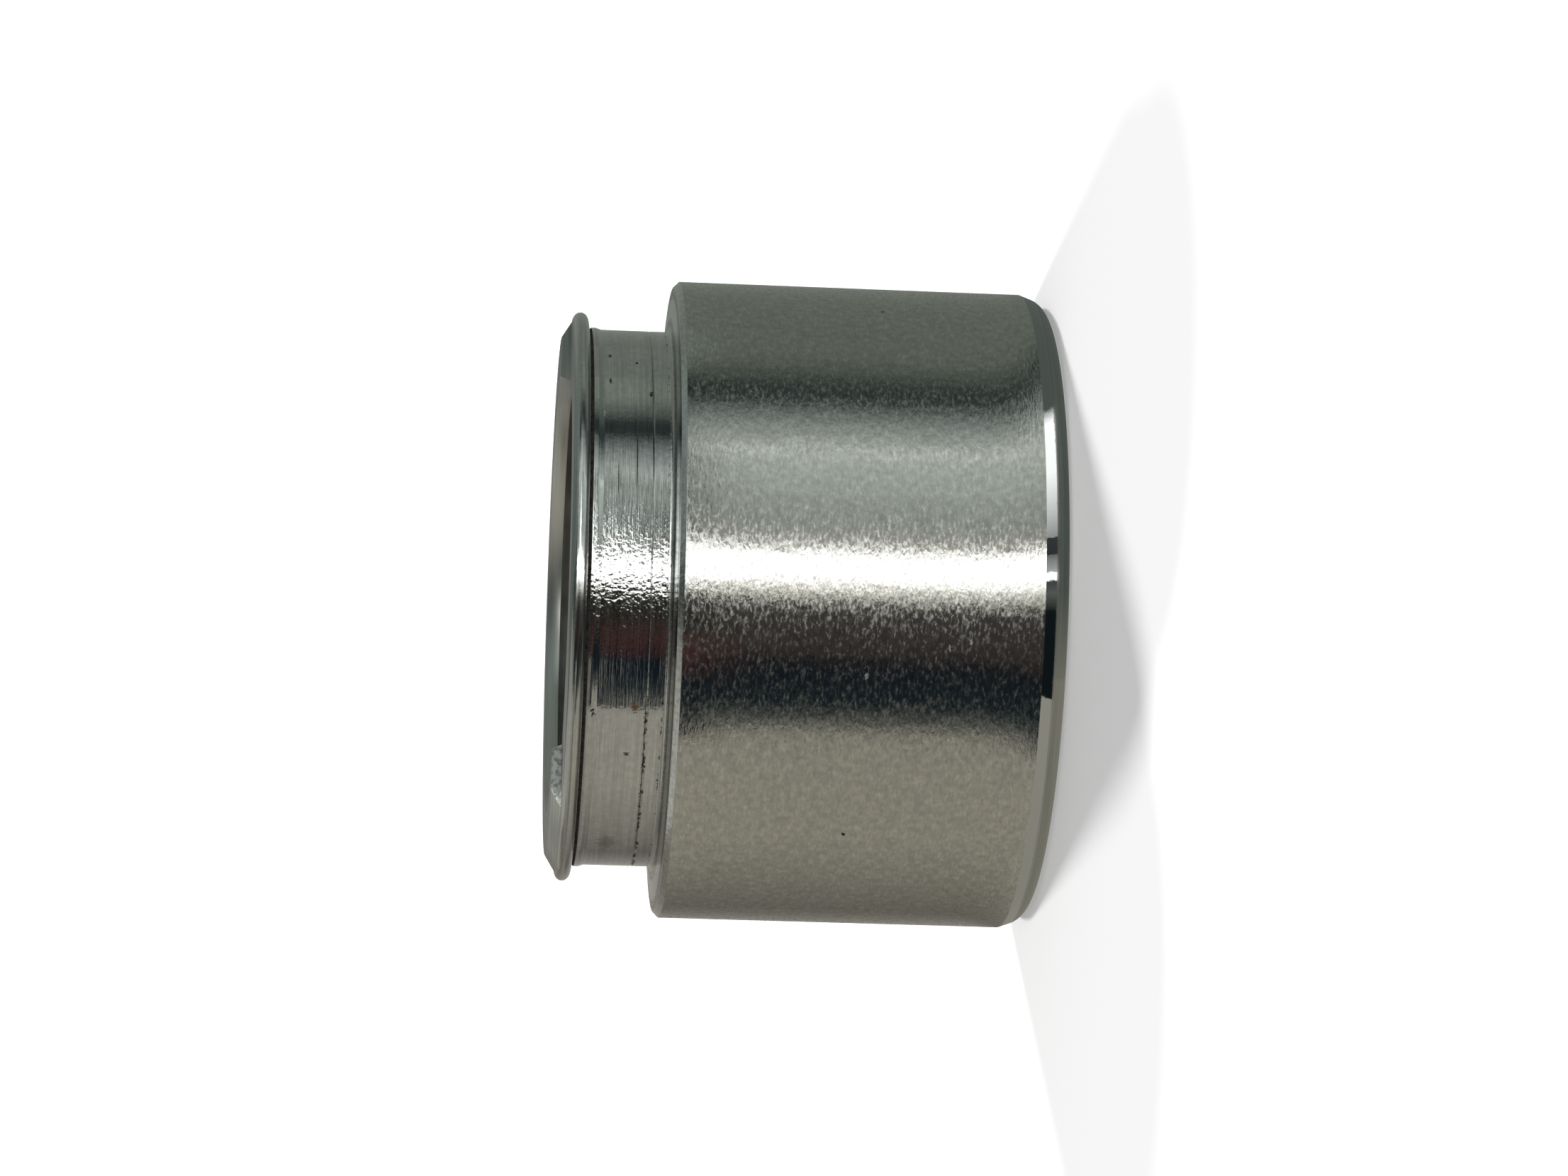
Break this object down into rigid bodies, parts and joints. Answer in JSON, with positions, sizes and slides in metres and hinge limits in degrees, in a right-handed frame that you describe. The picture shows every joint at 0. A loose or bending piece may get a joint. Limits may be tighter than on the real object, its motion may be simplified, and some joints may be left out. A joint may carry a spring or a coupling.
{
  "type": "brake caliper piston",
  "caption": "Turned steel cup piston for a disc brake caliper, with a ground wall, a boot groove and lip, and a milled step in its open rim.",
  "frame": {"origin": "centre of the flat face of the closed end, on which the piston stands", "axes": "+Z along the piston's axis and out of its open mouth; the step milled in the rim faces -Y"},
  "size_m": [0.054, 0.054, 0.0408],
  "materials": {
    "plated_steel": "ground and plated, satin, with circumferential turning and grinding marks"
  },
  "bodies": {
    "root": {"piston": "plated_steel"}
  },
  "joints": []
}
